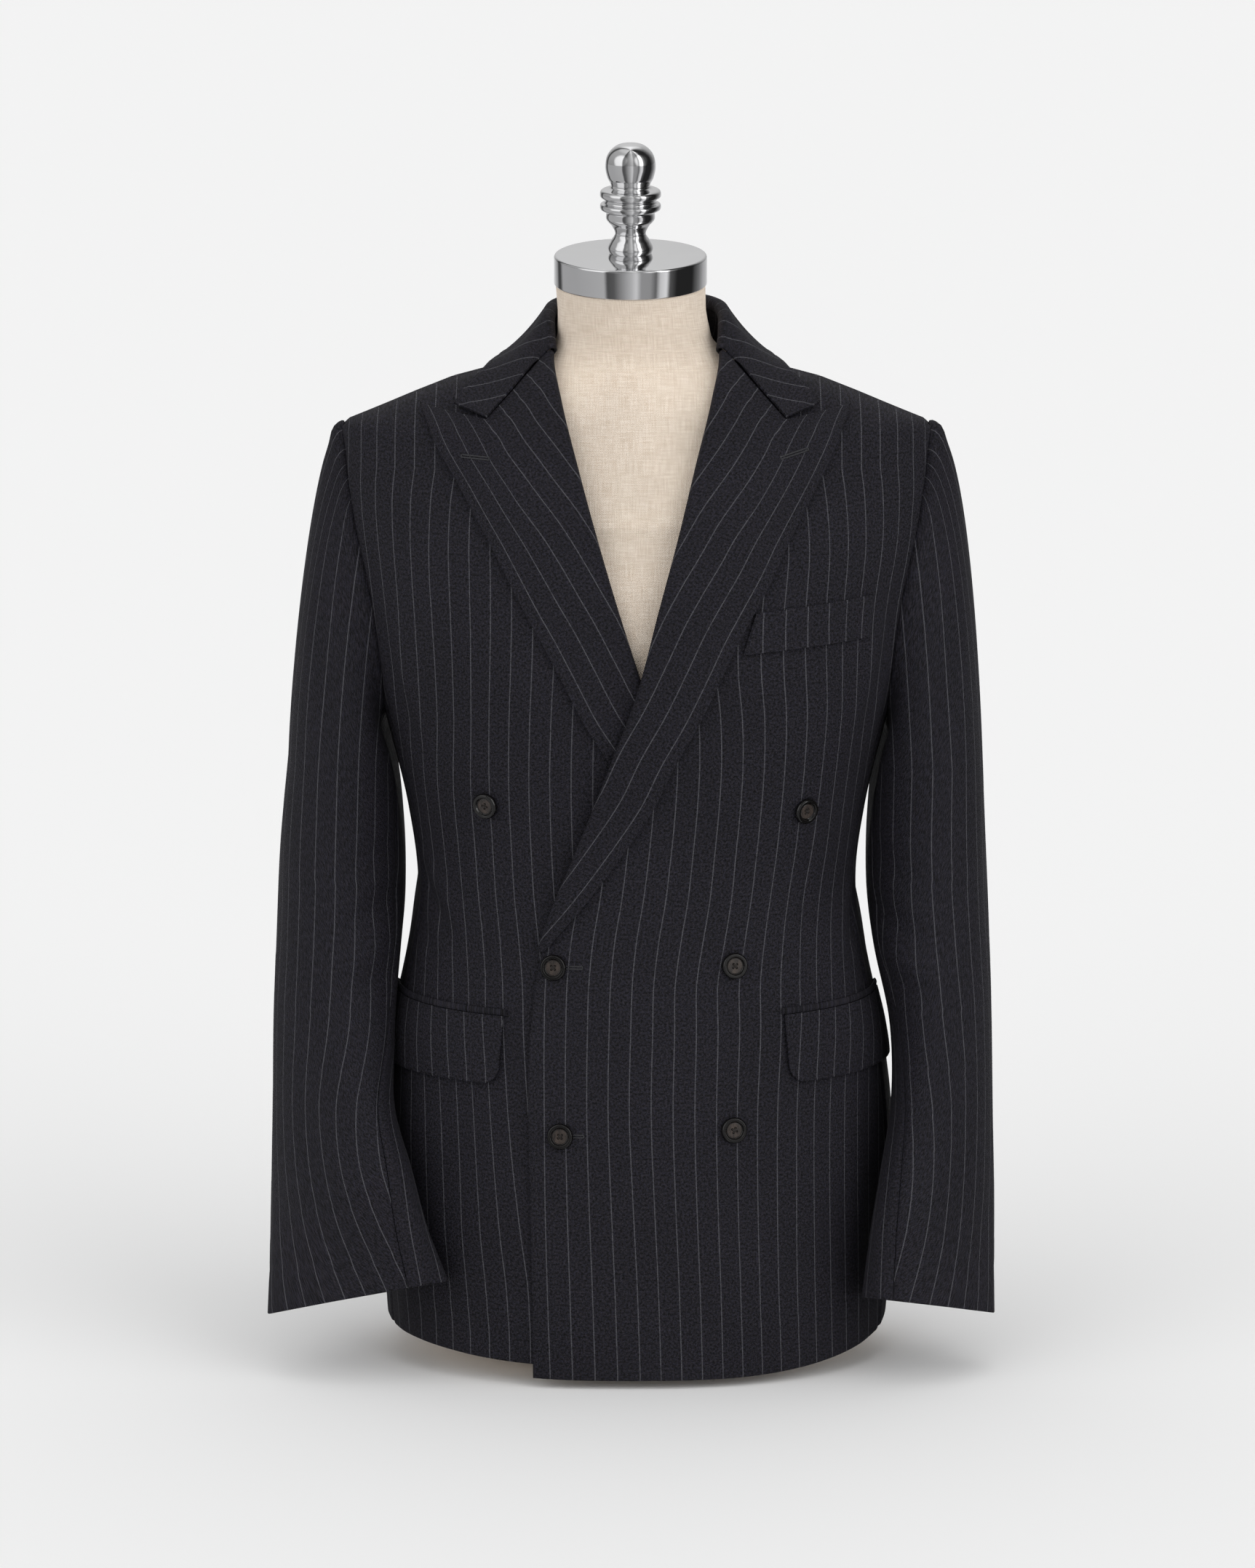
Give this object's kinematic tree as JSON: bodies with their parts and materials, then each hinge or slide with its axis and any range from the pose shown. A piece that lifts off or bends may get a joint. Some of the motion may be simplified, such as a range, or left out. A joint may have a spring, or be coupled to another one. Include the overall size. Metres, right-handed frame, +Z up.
{
  "type": "double-breasted suit jacket on a limbless dress form",
  "caption": "Tailored double-breasted jacket with peak lapels, flap pockets and buttons, worn by a limbless dress form with a chrome neck cap and finial.",
  "frame": {"origin": "centre of the dress form's flat base, where it meets the floor", "axes": "+Z up, -Y the jacket's front, +X the wearer's left"},
  "size_m": [0.564, 0.282, 0.9443],
  "materials": {
    "worsted": "charcoal worsted wool with fine grey stripes",
    "horn": "polished dark horn",
    "linen": "natural linen stretched over the form",
    "chrome": "polished"
  },
  "bodies": {
    "root": {"back_left": "worsted", "back_right": "worsted", "breast_welt": "worsted", "collar": "worsted", "collar_stand": "worsted", "flap_left": "worsted", "flap_right": "worsted", "front_left": "worsted", "front_right": "worsted", "jet_left": "worsted", "jet_right": "worsted", "lapel_left": "worsted", "lapel_right": "worsted", "side_left": "worsted", "side_right": "worsted", "sleeve_top_left": "worsted", "sleeve_top_right": "worsted", "sleeve_under_left": "worsted", "sleeve_under_right": "worsted", "button_upper_left": "horn", "button_upper_right": "horn", "button_middle_left": "horn", "button_middle_right": "horn", "button_lower_left": "horn", "button_lower_right": "horn", "form_body": "linen", "form_cap": "chrome", "form_finial": "chrome"}
  },
  "joints": []
}
